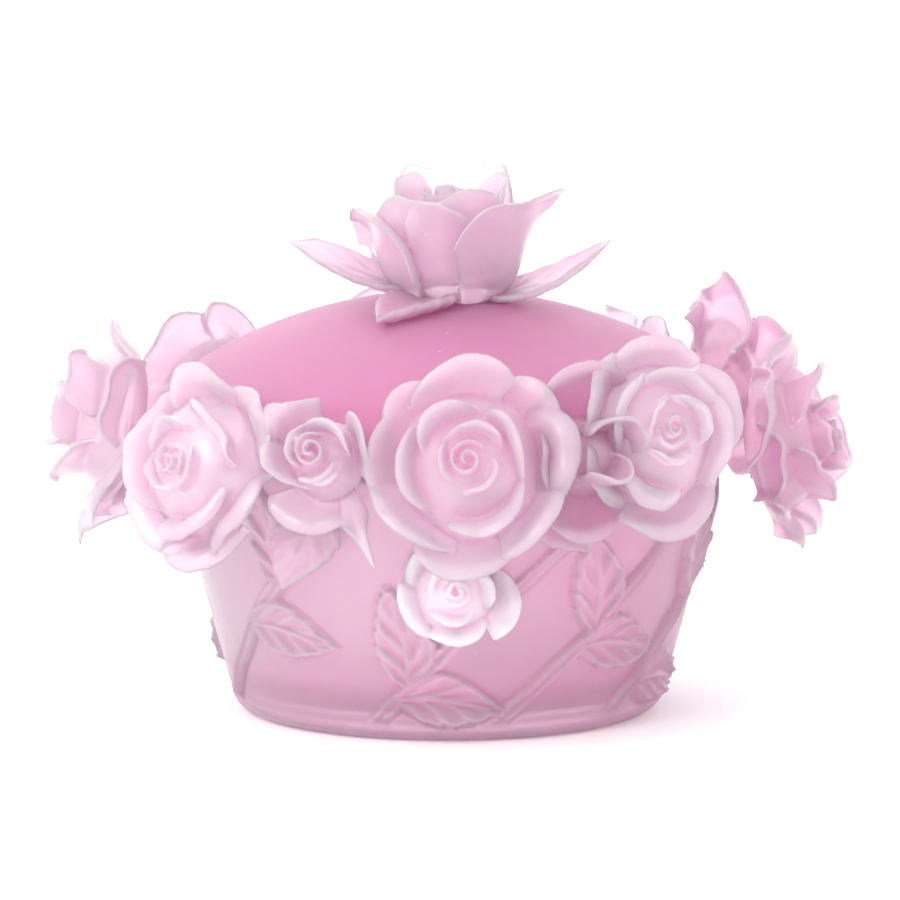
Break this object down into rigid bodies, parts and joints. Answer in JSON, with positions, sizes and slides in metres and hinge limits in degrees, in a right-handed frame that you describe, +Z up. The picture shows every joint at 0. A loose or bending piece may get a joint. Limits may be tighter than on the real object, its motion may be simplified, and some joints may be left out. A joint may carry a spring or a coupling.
{
  "type": "powder jar",
  "caption": "Cast-glass powder jar: a flared bowl ringed by a garland of roses, with a domed lid and a rose knob.",
  "frame": {"origin": "centre of the round face that the bowl stands on", "axes": "+Z up through the knob; -Y is the front, where the largest rose and the small low rose are"},
  "size_m": [0.2022, 0.2022, 0.132],
  "materials": {
    "bowl_glass": "frosted cast glass, mauve pink, satin, with small bubbles and soft clouding",
    "rose_glass": "frosted cast glass, pale pink, satin, paler at the petal edges",
    "leaf_glass": "frosted cast glass, palest pink, satin, with fine veins",
    "lid_glass": "frosted cast glass, deeper pink, smooth satin",
    "knob_glass": "frosted cast glass, pale pink, satin, paler at the petal edges"
  },
  "bodies": {
    "bowl": {"bowl": "bowl_glass", "bud_back": "rose_glass", "bud_front_left": "rose_glass", "bud_front_right": "rose_glass", "garland_leaf_back_left": "leaf_glass", "garland_leaf_back_right": "leaf_glass", "garland_leaf_left": "leaf_glass", "garland_leaf_right": "leaf_glass", "leaf_back_left_level": "bowl_glass", "leaf_back_left_upright": "bowl_glass", "leaf_back_level": "bowl_glass", "leaf_back_right_level": "bowl_glass", "leaf_back_right_upright": "bowl_glass", "leaf_back_upright": "bowl_glass", "leaf_front_left_level": "bowl_glass", "leaf_front_left_upright": "bowl_glass", "leaf_front_level": "bowl_glass", "leaf_front_right_level": "bowl_glass", "leaf_front_right_upright": "bowl_glass", "leaf_front_upright": "bowl_glass", "leaf_left_level": "bowl_glass", "leaf_left_upright": "bowl_glass", "leaf_right_level": "bowl_glass", "leaf_right_upright": "bowl_glass", "rose_back": "rose_glass", "rose_back_left": "rose_glass", "rose_back_right": "rose_glass", "rose_front": "rose_glass", "rose_front_left": "rose_glass", "rose_front_right": "rose_glass", "rose_left": "rose_glass", "rose_low_back": "rose_glass", "rose_low_front": "rose_glass", "rose_right": "rose_glass", "stem_back": "bowl_glass", "stem_back_left": "bowl_glass", "stem_back_right": "bowl_glass", "stem_front": "bowl_glass", "stem_front_left": "bowl_glass", "stem_front_right": "bowl_glass", "stem_left": "bowl_glass", "stem_right": "bowl_glass"},
    "lid_rim": {"lid_rim": "lid_glass"},
    "lid": {"knob_leaf_back_left": "knob_glass", "knob_leaf_back_right": "knob_glass", "knob_leaf_front": "knob_glass", "knob_leaf_left": "knob_glass", "knob_leaf_right": "knob_glass", "knob_rose": "knob_glass", "lid_dome": "lid_glass"}
  },
  "joints": [
    {"name": "lid_lift", "type": "slide", "parent": "bowl", "child": "lid_rim", "axis": [0, 0, 1], "range_m": [0, 0.11]},
    {"name": "lid_turn", "type": "hinge", "parent": "lid_rim", "child": "lid", "pos_m": [0, 0, 0.07], "axis": [0, 0, 1], "continuous": true}
  ]
}
